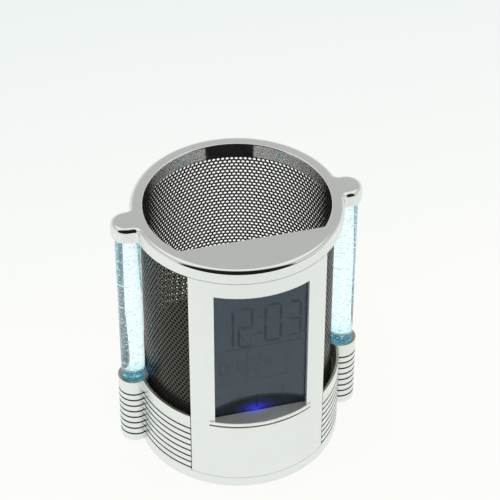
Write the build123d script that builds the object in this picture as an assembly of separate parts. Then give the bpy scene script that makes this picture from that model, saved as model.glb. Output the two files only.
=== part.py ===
from build123d import *
import os
from math import asin, copysign, cos, degrees, radians, sin, sqrt

# Table clock with pen holder: a round perforated cup on a ribbed base tray, a
# curved front panel with the clock behind it, and a clear lit rod each side.
# Millimetres. The origin is on the table under the cup's axis, +Z is up and
# the clock faces -Y.

# Main sizes
overall_height = 126.0
foot_height = 0.8
panel_half_angle = 41.4
panel_side_play = 0.25
overrun = 1.0

# Clearances between pieces
fit_gap = 0.3
seam_gap = 0.15

# Battery box and the contacts in it
cell_radius = 5.25
cell_length = 44.5
cell_nub_radius = 1.9
cell_nub_length = 0.8
cell_pitch = 11.2
cell_side_gap = 0.75
cell_door_gap = 0.4
spring_length = 5.9
spring_base_radius = 3.6
spring_tip_radius = 2.2
contact_thickness = 0.4
contact_size = 9.0
contact_tab_width = 2.4
contact_tab_rise = 1.8
box_wall = 1.2
box_half_width = cell_pitch + cell_radius + cell_side_gap
box_half_length = (cell_length + spring_length) / 2 + contact_thickness

# Round outlines, from the battery box out to the body
board_room = 3.1
control_board_thickness = 1.6
control_depth = 9.3
face_wall = 1.6
face_inset = 2.6
plate_overhang = 0.3
lip_projection = 0.8
board_rear = box_half_length + box_wall + board_room
control_board_y = board_rear + control_board_thickness
face_inner = control_board_y + control_depth
face_y = face_inner + face_wall
base_radius = face_y + face_inset
body_radius = base_radius
plate_radius = body_radius + plate_overhang
lip_radius = body_radius + lip_projection

# Columns: the rods, their sockets below and the plate's ears above
column_offset = 2.6
column_setback = 0.6
rod_radius = 5.3
rod_fit = 0.15
rod_chamfer = 0.3
socket_wall = 1.35
socket_bottom = 3.0
socket_rounding = 1.4
ear_margin = 1.5
column_x = body_radius + column_offset
column_y = -column_setback
rod_bore = rod_radius + rod_fit
socket_radius = rod_bore + socket_wall
ear_radius = rod_radius + ear_margin

# Base tray
base_height = 39.2
base_wall = 1.8
rim_wall = 1.1
rim_depth = 7.2
base_edge_rounding = 0.8
foot_band_top = 6.2
deck_thickness = 2.0
front_wall = 1.7
front_wall_lap = 0.75
groove_count = 8
groove_pitch = 3.45
groove_width = 0.9
groove_depth = 0.5
post_radius = 3.0
post_inset = 7.2
post_margin = 1.3
pilot_radius = 0.9
pilot_depth = 10.0
base_inner = base_radius - base_wall
deck_top = base_height - rim_depth
deck_bottom = deck_top - deck_thickness
groove_places = [deck_top - i * groove_pitch - groove_width / 2 for i in range(groove_count)]

# Perforated cup, its floor and the chromed top
mesh_setback = 3.8
mesh_thickness = 0.5
mesh_top_gap = 0.5
mesh_plain_low = 8.4
mesh_columns = 12
mesh_rows = 6
mesh_open_share = 0.66
floor_thickness = 1.2
plate_thickness = 2.0
plate_rounding = 1.6
skirt_wall = 0.7
opening_corner = 2.0
ear_fillet = 2.0
collar_height = 4.8
peg_radius = 0.9
peg_length = 3.0
peg_angle = 50.0
peg_play = 0.1
mesh_radius = body_radius - mesh_setback
mesh_clear = mesh_radius + fit_gap
mesh_inner = mesh_radius - mesh_thickness
opening_radius = mesh_inner - fit_gap - skirt_wall
collar_top = overall_height - plate_thickness
collar_bottom = collar_top - collar_height
peg_circle = (mesh_clear + body_radius) / 2

# Front panel and its window
panel_thickness = 2.0
window_width = 40.8
window_rise = 0.8
window_head = 7.8
window_rim = 0.3
window_frame = 1.8
lip_thickness = 1.8
lip_overhang = 2.2
lip_rounding = 0.7
panel_edge_rounding = 0.4
panel_inner = body_radius - panel_thickness
tray_front = panel_inner - fit_gap
half_window = window_width / 2
window_bottom = base_height + window_rise
window_top = collar_bottom - window_head
glass_face = sqrt(panel_inner ** 2 - (half_window + window_rim) ** 2)

# Clock behind the window
glass_thickness = 1.2
glass_margin = 1.4
lcd_thickness = 2.2
lcd_gap = 0.2
lcd_margin = 0.4
backlight_thickness = 2.8
backlight_inset = 0.4
backlight_led_width = 3.8
backlight_led_height = 1.4
holder_side = 1.6
holder_margin = 2.4
holder_depth = 6.5
clock_board_thickness = 1.2
strip_height = 2.5
strip_inset = 2.5
chip_radius = 4.5
chip_height = 1.4
crystal_radius = 0.8
crystal_length = 6.0
crystal_offset = 11.0
board_clearance = 1.9
glass_back = glass_face - glass_thickness
lcd_face = glass_back - lcd_gap
lcd_back = lcd_face - lcd_thickness
holder_back = glass_back - holder_depth
board_back = holder_back - clock_board_thickness
holder_half_width = half_window + holder_side
holder_low = window_bottom - holder_margin
holder_high = window_top + holder_margin
chip_z = (holder_low + holder_high) / 2
backlight_low = window_bottom + strip_height + backlight_led_height + lcd_gap

# Clock housing inside the cup, and the plate's opening behind it
housing_side = 4.0
housing_wall = 1.6
housing_post_inset = 8.0
housing_post_radius = 1.7
housing_pilot_radius = 0.6
housing_rib_width = 4.0
housing_rib_step = 18.0
housing_screw_length = 8.0
screw_head_radius = 1.6
screw_head_height = 1.0
screw_slot = 0.4
housing_half_width = holder_half_width + housing_side
housing_inner = board_back - board_clearance
housing_back = housing_inner - housing_wall
housing_top = collar_bottom - fit_gap
housing_post_x = housing_half_width - housing_post_inset
post_step = housing_wall + housing_post_radius
housing_post_heights = (deck_top + post_step, housing_top - post_step)
opening_chord = housing_back - fit_gap

# Display cable
cable_width = 10.0
cable_thickness = 0.8
cable_bend = 3.0
cable_drop = 3.0
cable_slot_gap = 0.5

# Light under each rod
seat_height = 7.8
seat_hole_radius = 2.9
led_radius = 2.5
led_height = 7.3
led_board_thickness = 1.2
led_board_play = 0.25
rod_depth = 12.2
wire_pocket_wall = 1.55
wire_pocket_depth = 3.0
wire_radius = 0.5
wire_hole_radius = 1.1
wire_bend = 1.0
wire_sweep = 6.0
wire_rise = 3.4
rod_bottom = base_height - rod_depth
seat_bottom = rod_bottom - seat_height
led_board_bottom = seat_bottom - led_board_thickness
led_board_radius = rod_bore - led_board_play
wire_pocket_radius = rod_bore - wire_pocket_wall
wire_z = led_board_bottom - wire_pocket_depth / 2

# Base cover and the door under the cells
cover_thickness = 3.0
door_margin = 1.6
door_thickness = 2.0
door_gap = 0.2
tongue_width = 1.2
tongue_thickness = 0.6
tongue_height = 0.8
grip_count = 3
grip_width = 14.0
grip_depth = 0.5
grip_pitch = 2.4
foot_radius = 4.5
foot_recess = 0.8
foot_recess_play = 0.1
foot_inset = 6.4
foot_angle = 20.0
base_screw_head_radius = 2.6
base_screw_head_height = 1.6
base_screw_slot = 0.6
base_screw_radius = 1.1
base_screw_length = 9.0
buzzer_radius = 6.0
buzzer_height = 7.0
buzzer_room = 0.7
sound_hole_radius = 0.7
sound_hole_circle = 2.6
sound_hole_count = 6
cover_top = foot_height + cover_thickness
cover_radius = base_inner - fit_gap
door_top = foot_height + door_thickness
door_front = box_half_length + box_wall + door_gap
door_half_width = box_half_width + box_wall + door_margin
tongue_level = foot_height + tongue_height
screw_seat = foot_height + base_screw_head_height
post_circle = base_inner - post_inset
post_x = door_half_width + tongue_width + base_screw_head_radius + post_margin
post_y = sqrt(post_circle ** 2 - post_x ** 2)
cell_z = door_top + cell_door_gap + cell_radius
box_ceiling = cell_z + cell_radius + cell_door_gap
tab_top = box_ceiling + box_wall + contact_tab_rise
cell_x = [-cell_pitch, 0, cell_pitch]
tab_places = [-cell_pitch, cell_pitch]
buzzer_y = door_front + buzzer_room + buzzer_radius

# Controls on the rear of the base
face_half_width = 14.6
face_margin_high = 1.4
face_margin_low = 2.3
button_radius = 2.3
button_pitch = 6.4
button_drop = 7.0
button_proud = 0.9
button_travel = 0.6
button_flange_radius = 3.0
button_flange_thickness = 1.1
button_stem_radius = 1.6
button_rounding = 0.4
button_names = ["mode", "set", "up", "down"]
control_board_half_width = 17.0
control_board_margin = 1.4
control_board_gap = 1.2
tact_size = 6.0
tact_height = 3.5
tact_plunger_radius = 1.7
tact_plunger_height = 1.5
tact_end_gap = 0.1
switch_drop = 11.0
switch_travel = 3.0
switch_body_length = 8.6
switch_body_height = 4.0
switch_body_depth = 4.4
knob_length = 4.0
knob_height = 2.6
knob_proud = 0.9
knob_plate_length = 13.0
knob_plate_height = 5.6
knob_plate_thickness = 1.1
knob_stem = 2.0
knob_stem_gap = 0.3
board_post_x = 13.6
board_post_drop = 7.5
board_post_radius = 2.1
board_screw_length = 7.0
face_low = foot_band_top + face_margin_low
face_high = deck_top - face_margin_high
button_z = deck_top - button_drop
switch_z = button_z - switch_drop
switch_x = -switch_travel / 2
board_post_z = button_z - board_post_drop
control_board_high = deck_bottom - control_board_margin
control_board_low = cover_top + control_board_gap
board_screw_end = control_board_y + board_screw_length
flange_back = face_inner - fit_gap
flange_front = flange_back - button_flange_thickness
tact_top = control_board_y + tact_height + tact_plunger_height
knob_plate_back = face_inner - fit_gap
knob_plate_front = knob_plate_back - knob_plate_thickness
switch_body_top = control_board_y + switch_body_depth


def upright(radius, low, high, x=0, y=0):
    """A vertical cylinder between two heights."""
    return Pos(x, y, low) * extrude(Circle(radius), high - low)


def ring(outer, inner, low, high, x=0, y=0):
    """A vertical tube between two heights."""
    return Pos(x, y, low) * extrude(Circle(outer) - Circle(inner), high - low)


def block(across, along, up):
    """A box from three pairs of low and high values on X, Y and Z."""
    sizes = [pair[1] - pair[0] for pair in (across, along, up)]
    middles = [(pair[0] + pair[1]) / 2 for pair in (across, along, up)]
    return Pos(*middles) * Box(*sizes)


def bar(radius, front, back, x=0, z=0):
    """A cylinder along Y between two depths."""
    lying = Plane(origin=(x, front, z), x_dir=(1, 0, 0), z_dir=(0, 1, 0))
    return lying * extrude(Circle(radius), back - front)


def wedge(half_angle, low, high):
    """The sector of the body about the front, -Y, between two heights."""
    reach = body_radius * 2
    side = reach * sin(radians(half_angle))
    far = reach * cos(radians(half_angle))
    face = make_face(Polyline((0, 0), (-side, -far), (side, -far), close=True))
    return Pos(0, 0, low) * extrude(face, high - low)


def cut_circle(radius, chord):
    """A disc whose front is cut off straight, chord from its centre."""
    front = Pos(0, -chord - radius) * Rectangle(radius * 4, radius * 2)
    return Circle(radius) - front


def around(circle_radius, angle):
    """Four places on a circle, mirrored in both axes."""
    x = circle_radius * cos(radians(angle))
    y = circle_radius * sin(radians(angle))
    return [(-x, -y), (x, -y), (-x, y), (x, y)]


sides = {"left": -1, "right": 1}
column_places = (-column_x, column_x)
board_post_places = (-board_post_x, board_post_x)
housing_posts = [(side * housing_post_x, z) for side in sides.values() for z in housing_post_heights]
posts = [(x, y) for x in (-post_x, post_x) for y in (-post_y, post_y)]
feet = around(cover_radius - foot_inset, foot_angle)
button_middle = (len(button_names) - 1) / 2
button_places = [button_pitch * (i - button_middle) for i in range(len(button_names))]
nodes = {}


def eared_outline(radius, ear):
    """A round plate with a rounded ear over each rod."""
    outline = Circle(radius)
    for x in column_places:
        outline += Pos(x, column_y) * Circle(ear)
        outline += Pos(x / 2, column_y) * Rectangle(column_x, ear * 2)
    necks = outline.vertices().filter_by(lambda corner: abs(corner.X) < column_x - ear_fillet / 2)
    return fillet(necks, ear_fillet)


def top_plate():
    """The chromed top: an eared plate with a skirt down into the cup and four pegs."""
    opening = cut_circle(opening_radius, opening_chord)
    opening = fillet(opening.vertices(), opening_corner)
    skirt = cut_circle(opening_radius + skirt_wall, opening_chord + skirt_wall)
    skirt = fillet(skirt.vertices(), opening_corner + skirt_wall)
    plate = Pos(0, 0, collar_top) * extrude(eared_outline(plate_radius, ear_radius), plate_thickness)
    plate = fillet(plate.edges().group_by(Axis.Z)[-1], plate_rounding)
    plate += Pos(0, 0, collar_bottom) * extrude(skirt, collar_height + plate_thickness / 2)
    plate -= Pos(0, 0, collar_bottom - overrun) * extrude(opening, overall_height)
    for x, y in around(peg_circle, peg_angle):
        plate += upright(peg_radius, collar_top - peg_length, collar_top + plate_thickness / 2, x, y)
    return plate


def collar_ring():
    """The painted ring under the plate, with a lobe that holds each rod's upper end."""
    collar = Pos(0, 0, collar_bottom) * extrude(eared_outline(body_radius, ear_radius), collar_height)
    collar -= upright(mesh_clear, collar_bottom - overrun, collar_top + overrun)
    for x in column_places:
        collar -= upright(rod_bore, collar_bottom - overrun, collar_top + overrun, x, column_y)
    peg_end = collar_top - peg_length - fit_gap
    for x, y in around(peg_circle, peg_angle):
        collar -= upright(peg_radius + peg_play, peg_end, collar_top + overrun, x, y)
    return collar


def front_panel():
    """The curved painted panel, with the window's frame behind and its lip in front."""
    low = foot_band_top + seam_gap
    high = collar_bottom - seam_gap
    panel = ring(body_radius, panel_inner, low, high) & wedge(panel_half_angle, low, high)
    side_edges = panel.edges().filter_by(Axis.Z)
    outer_limit = seam_gap - body_radius * cos(radians(panel_half_angle))
    panel = fillet(side_edges.filter_by(lambda edge: edge.center().Y < outer_limit), panel_edge_rounding)
    frame_half = half_window + glass_margin
    frame_heights = (window_bottom - window_frame, window_top + window_frame)
    frame = block((-frame_half, frame_half), (-body_radius, -glass_face), frame_heights)
    panel += frame & upright(panel_inner + panel_thickness / 2, low, high)
    lip_half = half_window + lip_overhang
    lip = ring(lip_radius, panel_inner + panel_thickness / 2, window_bottom - lip_thickness, window_bottom)
    rims = lip.edges().filter_by(GeomType.CIRCLE).filter_by(lambda edge: edge.radius > body_radius)
    lip = fillet(rims, lip_rounding)
    panel += lip & block((-lip_half, lip_half), (-lip_radius, 0), (low, high))
    panel -= block((-frame_half - seam_gap, frame_half + seam_gap), (-glass_face, 0),
                   (window_bottom - glass_margin - seam_gap, window_top + glass_margin + seam_gap))
    panel -= block((-half_window, half_window), (-body_radius - overrun, 0), (window_bottom, window_top))
    shell_y = sqrt(panel_inner ** 2 - housing_post_x ** 2)
    pilot_end = -housing_inner - housing_screw_length
    for x, z in housing_posts:
        panel += bar(housing_post_radius, -shell_y - panel_thickness / 2, -housing_inner, x, z)
        panel -= bar(housing_pilot_radius, pilot_end, -housing_inner + overrun, x, z)
    return panel


def display_glass():
    """The flat clear window, bonded to the back of the panel's frame."""
    half = half_window + glass_margin
    heights = (window_bottom - glass_margin, window_top + glass_margin)
    return block((-half, half), (-glass_face, -glass_back), heights)


def lcd_panel():
    """The liquid crystal display, which fills the whole window."""
    half = half_window + lcd_margin
    heights = (window_bottom - lcd_margin, window_top + lcd_margin)
    return block((-half, half), (-lcd_face, -lcd_back), heights)


def lcd_backlight():
    """The light guide behind the display, above the contact strip and its lamp."""
    half = half_window - backlight_inset
    depths = (-lcd_back, -lcd_back + backlight_thickness)
    return block((-half, half), depths, (backlight_low, window_top - backlight_inset))


def backlight_led():
    """The small lamp at the middle of the light guide's lower edge."""
    half = backlight_led_width / 2
    heights = (backlight_low - backlight_led_height, backlight_low)
    return block((-half, half), (-lcd_back + lcd_gap, -holder_back), heights)


def contact_strip():
    """The rubber strip that joins the display's lower edge to the board."""
    half = half_window - strip_inset
    heights = (window_bottom, window_bottom + strip_height)
    return block((-half, half), (-lcd_back, -holder_back), heights)


def lcd_holder():
    """The frame that holds the display and light guide square behind the glass."""
    half = holder_half_width
    hole = half_window + lcd_margin + lcd_gap
    holder = block((-half, half), (-glass_back, -holder_back), (holder_low, holder_high))
    holder -= block((-hole, hole), (-glass_back - overrun, -holder_back + overrun),
                    (window_bottom - lcd_margin - lcd_gap, window_top + lcd_margin + lcd_gap))
    return holder


def clock_board():
    """The clock's circuit board, across the back of the holder."""
    half = holder_half_width
    return block((-half, half), (-holder_back, -board_back), (holder_low, holder_high))


def clock_chip():
    """The bead of resin over the clock's chip."""
    bead = bar(chip_radius, -board_back, -board_back + chip_height, 0, chip_z)
    return fillet(bead.edges().group_by(Axis.Y)[-1], chip_height / 2)


def crystal():
    """The timing crystal, a small can lying on the board."""
    can = upright(crystal_radius, chip_z - crystal_length / 2, chip_z + crystal_length / 2)
    return Pos(crystal_offset, -board_back + crystal_radius, 0) * can


def clock_housing():
    """The cover over the clock's back, inside the cup and open towards the panel."""
    half = housing_half_width
    front = -sqrt(tray_front ** 2 - half ** 2)
    cover = block((-half, half), (front, -housing_back), (deck_top, housing_top))
    cover -= block((-half + housing_wall, half - housing_wall), (front - overrun, -housing_inner),
                   (deck_top + housing_wall, housing_top - housing_wall))
    slot = cable_width / 2 + cable_slot_gap
    cable_back = -board_back + cable_thickness + cable_slot_gap
    slot_heights = (deck_top - overrun, deck_top + housing_wall + overrun)
    cover -= block((-slot, slot), (front - overrun, cable_back), slot_heights)
    rib_start = holder_half_width / 2
    for z in (chip_z - housing_rib_step, chip_z + housing_rib_step):
        cover += block((-rib_start - housing_rib_width, -rib_start),
                       (-board_back, -housing_inner + housing_wall / 2), (z, z + housing_wall))
    head_seat = -housing_back - screw_head_height
    for x, z in housing_posts:
        cover -= bar(screw_head_radius + seam_gap, head_seat, -housing_back + overrun, x, z)
        cover -= bar(housing_pilot_radius + seam_gap, -housing_inner - overrun, -housing_back, x, z)
    return cover


def housing_screws():
    """Four screws, from inside the cup through the housing into the panel's posts."""
    screws = []
    middle = -housing_back - screw_head_height / 2
    arm = screw_head_radius / 2
    drive = block((-arm, arm), (middle, -housing_back + overrun), (-screw_slot / 2, screw_slot / 2))
    drive += Rot(0, 90, 0) * drive
    for x, z in housing_posts:
        screw = bar(screw_head_radius, -housing_back - screw_head_height, -housing_back, x, z)
        screw += bar(housing_pilot_radius, -housing_back - housing_screw_length, middle, x, z)
        screws.append(screw - Pos(x, 0, z) * drive)
    return screws


def display_cable():
    """The flat cable from the clock's board down through the deck and back to the controls."""
    half = cable_width / 2
    face = -board_back
    bottom = deck_bottom - cable_drop
    down = block((-half, half), (face, face + cable_thickness), (bottom, holder_low + cable_drop))
    back = block((-half, half), (face, board_rear), (bottom, bottom + cable_thickness))
    cable = down + back
    corner = (0, face + cable_thickness, bottom + cable_thickness)
    cable = fillet(cable.edges().filter_by(Axis.X).sort_by_distance(corner)[0], cable_bend)
    corner = (0, face, bottom)
    return fillet(cable.edges().filter_by(Axis.X).sort_by_distance(corner)[0], cable_bend + cable_thickness)


def mesh_cup():
    """The cup's sheet, rolled round, open in front where the clock is and pierced by a plain grid."""
    cup = ring(mesh_radius, mesh_inner, deck_top, collar_top - mesh_top_gap)
    half = housing_half_width + fit_gap
    cup -= block((-half, half), (-body_radius, 0), (deck_top - overrun, collar_top + overrun))
    edge_angle = degrees(asin(half / mesh_radius))
    angle_step = (360 - 2 * edge_angle) / mesh_columns
    half_opening = mesh_radius * sin(radians(angle_step * mesh_open_share / 2))
    row_step = (collar_bottom - deck_top - mesh_plain_low) / mesh_rows
    openings = []
    for row in range(mesh_rows):
        low = deck_top + mesh_plain_low + row_step * (row + (1 - mesh_open_share) / 2)
        opening = block((-half_opening, half_opening), (-body_radius, -mesh_inner / 2),
                        (low, low + row_step * mesh_open_share))
        for column in range(mesh_columns):
            openings.append(Rot(0, 0, edge_angle + angle_step * (column + 1 / 2)) * opening)
    return cup - openings


def cup_floor():
    """The black pad that lines the bottom of the cup."""
    outline = cut_circle(mesh_inner - fit_gap, opening_chord)
    return Pos(0, 0, deck_top) * extrude(outline, floor_thickness)


def base_tray():
    """The ribbed painted base, with its deck, the two sockets and the rear control face."""
    inside_top = deck_bottom + deck_thickness / 2
    tray = upright(base_radius, foot_height, base_height)
    tray = fillet(tray.edges().group_by(Axis.Z)[0], base_edge_rounding)
    tray -= upright(base_inner, foot_height - overrun, deck_bottom)
    tray -= upright(base_radius - rim_wall, deck_top, base_height + overrun)
    front = ring(base_inner + base_wall / 2, tray_front - front_wall, cover_top, deck_bottom)
    tray += front & wedge(panel_half_angle + front_wall_lap, cover_top, deck_bottom)
    for x in column_places:
        socket = upright(socket_radius, socket_bottom, base_height, x, column_y)
        tray += fillet(socket.edges().group_by(Axis.Z)[0], socket_rounding)
    for x, y in posts:
        tray += upright(post_radius, cover_top, inside_top, x, y)
    face = block((-face_half_width, face_half_width), (face_inner, base_inner), (cover_top, inside_top))
    tray += face & upright(base_radius - base_wall / 2, 0, base_height)
    for x in board_post_places:
        tray += bar(board_post_radius, control_board_y, face_inner + face_wall / 2, x, board_post_z)
    for x, y in posts:
        tray -= upright(pilot_radius, cover_top - overrun, cover_top + pilot_depth, x, y)
    tray -= upright(base_inner, foot_height - overrun, cover_top)
    tray -= upright(mesh_clear, deck_top, base_height + overrun)
    tray -= grooves()
    front = ring(body_radius + overrun, tray_front, foot_band_top, base_height + overrun)
    tray -= front & wedge(panel_half_angle + panel_side_play, foot_band_top, base_height + overrun)
    width = (-face_half_width, face_half_width)
    tray -= block(width, (face_y, body_radius + overrun), (face_low, face_high))
    for x in column_places:
        tray -= upright(rod_bore, led_board_bottom, base_height + overrun, x, column_y)
        tray -= upright(wire_pocket_radius, led_board_bottom - wire_pocket_depth, base_height, x, column_y)
        hole = Rot(0, 90, 0) * extrude(Circle(wire_hole_radius), socket_radius + overrun)
        start = min(x, x - copysign(socket_radius + overrun, x))
        tray -= Pos(start, column_y, wire_z) * hole
    for x in board_post_places:
        tray -= bar(housing_pilot_radius, control_board_y - overrun, board_screw_end, x, board_post_z)
    for x in button_places:
        tray -= bar(button_radius + fit_gap, face_inner - overrun, face_y + overrun, x, button_z)
    slot_half = (knob_length + switch_travel) / 2 + fit_gap
    slot_heights = (switch_z - knob_height / 2 - fit_gap, switch_z + knob_height / 2 + fit_gap)
    tray -= block((-slot_half, slot_half), (face_inner - overrun, face_y + overrun), slot_heights)
    slot_half = cable_width / 2 + cable_slot_gap
    slot_back = -board_back + cable_thickness + cable_slot_gap + cable_bend
    slot_heights = (deck_bottom - overrun, deck_top + overrun)
    tray -= block((-slot_half, slot_half), (-board_back - cable_slot_gap, slot_back), slot_heights)
    notch = door_half_width + tongue_width + fit_gap
    return tray - block((-notch, notch), (0, body_radius + overrun), (0, door_top + door_gap))


def grooves():
    """The cuts that leave ribs round the base and its sockets, but not behind the controls."""
    outer = Circle(base_radius + overrun)
    inner = Circle(base_radius - groove_depth)
    for x in column_places:
        outer += Pos(x, column_y) * Circle(socket_radius + overrun)
        inner += Pos(x, column_y) * Circle(socket_radius - groove_depth)
    band = extrude(outer - inner, groove_width)
    band -= block((-face_half_width, face_half_width), (0, body_radius + overrun), (0, groove_width))
    cuts = Pos(0, 0, groove_places[0]) * band
    for z in groove_places[1:]:
        cuts += Pos(0, 0, z) * band
    return cuts


def base_cover():
    """The underside, with the battery box and the door's runners moulded in."""
    wall_x = box_half_width + box_wall
    wall_y = box_half_length + box_wall
    cover = upright(cover_radius, foot_height, cover_top)
    cover += block((-wall_x, wall_x), (-wall_y, wall_y), (foot_height, box_ceiling + box_wall))
    inside = (foot_height - overrun, box_ceiling)
    cover -= block((-box_half_width, box_half_width), (-box_half_length, box_half_length), inside)
    recess = door_half_width + door_gap
    depths = (-door_front - door_gap, body_radius)
    cover -= block((-recess, recess), depths, (0, door_top + door_gap))
    runner = recess + tongue_width + door_gap
    runner_heights = (tongue_level - door_gap, tongue_level + tongue_thickness + door_gap)
    cover -= block((-runner, runner), depths, runner_heights)
    below = foot_height - overrun
    for x, y in posts:
        cover -= upright(base_screw_radius + fit_gap, below, cover_top + overrun, x, y)
        cover -= upright(base_screw_head_radius + fit_gap, below, screw_seat, x, y)
    for x, y in feet:
        cover -= upright(foot_radius + foot_recess_play, below, foot_height + foot_recess, x, y)
    for i in range(sound_hole_count):
        angle = radians(360 / sound_hole_count * i)
        x = sound_hole_circle * cos(angle)
        y = sound_hole_circle * sin(angle) - buzzer_y
        cover -= upright(sound_hole_radius, below, cover_top + overrun, x, y)
    tab = contact_tab_width / 2 + seam_gap
    depths = (box_half_length - contact_thickness - seam_gap, box_half_length + seam_gap)
    heights = (box_ceiling - overrun, box_ceiling + box_wall + overrun)
    for x in tab_places:
        cover -= block((x - tab, x + tab), depths, heights)
    return cover


def battery_door():
    """The sliding door under the cells, with a tongue along each side and a grip."""
    half = door_half_width + tongue_width
    tongue_back = sqrt(cover_radius ** 2 - half ** 2)
    door = upright(base_radius, foot_height, door_top)
    door = fillet(door.edges().group_by(Axis.Z)[0], base_edge_rounding)
    door &= block((-door_half_width, door_half_width), (-door_front, body_radius), (0, door_top))
    tongue_heights = (tongue_level, tongue_level + tongue_thickness)
    door += block((-half, half), (-door_front, tongue_back), tongue_heights)
    grip_heights = (foot_height - overrun, foot_height + grip_depth)
    for i in range(grip_count):
        y = tongue_back - i * grip_pitch
        door -= block((-grip_width / 2, grip_width / 2), (y - grip_pitch / 2, y), grip_heights)
    return door


def battery_cell(index):
    """One slim cell, turned end for end from its neighbour."""
    way = 1 if index % 2 == 0 else -1
    nub_end = box_half_length - contact_thickness
    case = bar(cell_radius, nub_end - cell_length, nub_end - cell_nub_length)
    cell = case + bar(cell_nub_radius, nub_end - cell_length / 2, nub_end)
    if way < 0:
        cell = Rot(0, 0, 180) * cell
    return Pos(cell_x[index], 0, cell_z) * cell


def contact_plates():
    """Six sprung plates at the ends of the cells, two with a tab for the leads."""
    plates = []
    half = contact_size / 2
    tab = contact_tab_width / 2
    rear = (box_half_length - contact_thickness, box_half_length)
    front = (-box_half_length, -box_half_length + contact_thickness)
    for x in cell_x:
        for depths in (front, rear):
            plate = block((x - half, x + half), depths, (cell_z - half, cell_z + half))
            if depths == rear and x in tab_places:
                plate += block((x - tab, x + tab), rear, (cell_z, tab_top))
            plates.append(plate)
    return plates


def contact_springs():
    """Three cone springs that press the cells against the far plates."""
    springs = []
    cone = loft([Circle(spring_base_radius), Pos(0, 0, spring_length) * Circle(spring_tip_radius)])
    for index, x in enumerate(cell_x):
        way = -1 if index % 2 == 0 else 1
        root = (x, way * (box_half_length - contact_thickness), cell_z)
        springs.append(Plane(origin=root, x_dir=(1, 0, 0), z_dir=(0, -way, 0)) * cone)
    return springs


def base_screws():
    """Four screws up through the cover into the tray's posts."""
    screws = []
    head_low = screw_seat - base_screw_head_height / 2
    drive_top = screw_seat - base_screw_head_height / 4
    arm = base_screw_head_radius / 2
    drive = block((-arm, arm), (-base_screw_slot / 2, base_screw_slot / 2), (0, drive_top))
    drive += Rot(0, 0, 90) * drive
    for x, y in posts:
        screw = upright(base_screw_head_radius, head_low, screw_seat, x, y)
        screw += upright(pilot_radius, drive_top, screw_seat + base_screw_length, x, y)
        screws.append(screw - Pos(x, y, 0) * drive)
    return screws


def buzzer():
    """The alarm's buzzer, over the sound holes in the cover."""
    can = upright(buzzer_radius, cover_top, cover_top + buzzer_height, 0, -buzzer_y)
    mouth_top = cover_top + buzzer_height / 2
    return can - upright(sound_hole_radius, cover_top - overrun, mouth_top, 0, -buzzer_y)


def control_board():
    """The board behind the rear controls."""
    half = control_board_half_width
    hole_radius = housing_pilot_radius + seam_gap
    board = block((-half, half), (board_rear, control_board_y), (control_board_low, control_board_high))
    for x in board_post_places:
        board -= bar(hole_radius, board_rear - overrun, control_board_y + overrun, x, board_post_z)
    return board


def board_screws():
    """Two screws through the control board into the tray's posts."""
    screws = []
    shank_start = board_rear - screw_head_height / 2
    for x in board_post_places:
        head = bar(screw_head_radius, board_rear - screw_head_height, board_rear, x, board_post_z)
        shank = bar(housing_pilot_radius, shank_start, board_screw_end - seam_gap, x, board_post_z)
        screws.append(head + shank)
    return screws


def tact_switches():
    """Four push switches on the control board, one behind each button."""
    switches = []
    half = tact_size / 2
    depths = (control_board_y, control_board_y + tact_height)
    for x in button_places:
        case = block((x - half, x + half), depths, (button_z - half, button_z + half))
        plunger = bar(tact_plunger_radius, control_board_y + tact_height / 2, tact_top, x, button_z)
        switches.append(case + plunger)
    return switches


def slide_switch():
    """The body of the switch for the lights, on the control board."""
    half = switch_body_length / 2
    heights = (switch_z - switch_body_height / 2, switch_z + switch_body_height / 2)
    return block((-half, half), (control_board_y, switch_body_top), heights)


def light_switch_knob():
    """The knob that slides in the rear face, with a plate behind that covers the slot."""
    middle = knob_plate_back - knob_plate_thickness / 2
    knob = centred((knob_length, knob_height), middle, face_y + knob_proud)
    knob = fillet(knob.edges().group_by(Axis.Y)[-1], button_rounding)
    knob += centred((knob_plate_length, knob_plate_height), knob_plate_front, knob_plate_back)
    return knob + centred((knob_stem, knob_stem), switch_body_top + knob_stem_gap, middle)


def centred(size, front, back):
    """A box of the knob's, about the place where the knob rests."""
    across = (switch_x - size[0] / 2, switch_x + size[0] / 2)
    return block(across, (front, back), (switch_z - size[1] / 2, switch_z + size[1] / 2))


def push_button(x):
    """A round button, with a flange that keeps it in and a stem to its switch."""
    middle = flange_back - button_flange_thickness / 2
    cap = bar(button_radius, middle, face_y + button_proud, x, button_z)
    cap = fillet(cap.edges().group_by(Axis.Y)[-1], button_rounding)
    flange = bar(button_flange_radius, flange_front, flange_back, x, button_z)
    stem = bar(button_stem_radius, tact_top + button_travel + tact_end_gap, middle, x, button_z)
    return cap + flange + stem


def light_rod(side):
    """A clear round rod, from its socket in the base up into the collar."""
    rod = upright(rod_radius, rod_bottom, collar_top - fit_gap, side * column_x, column_y)
    return chamfer(rod.edges().filter_by(GeomType.CIRCLE), rod_chamfer)


def rod_seat(side):
    """The sleeve round the lamp, which the rod stands on."""
    return ring(rod_radius, seat_hole_radius, seat_bottom, rod_bottom, side * column_x, column_y)


def led_board(side):
    """The small round board at the bottom of the socket."""
    return upright(led_board_radius, led_board_bottom, seat_bottom, side * column_x, column_y)


def rod_led(side):
    """The domed lamp under the rod."""
    lamp = upright(led_radius, seat_bottom, seat_bottom + led_height - led_radius)
    lamp += Pos(0, 0, seat_bottom + led_height - led_radius) * Sphere(led_radius)
    return Pos(side * column_x, column_y, 0) * lamp


def lead(points, bends):
    """A round lead along straight runs with rounded corners."""
    path = FilletPolyline(*points, radius=bends) if len(points) > 2 else Line(*points)
    start = Plane(origin=path @ 0, z_dir=path % 0)
    return sweep(start * Circle(wire_radius), path=path)


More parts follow.
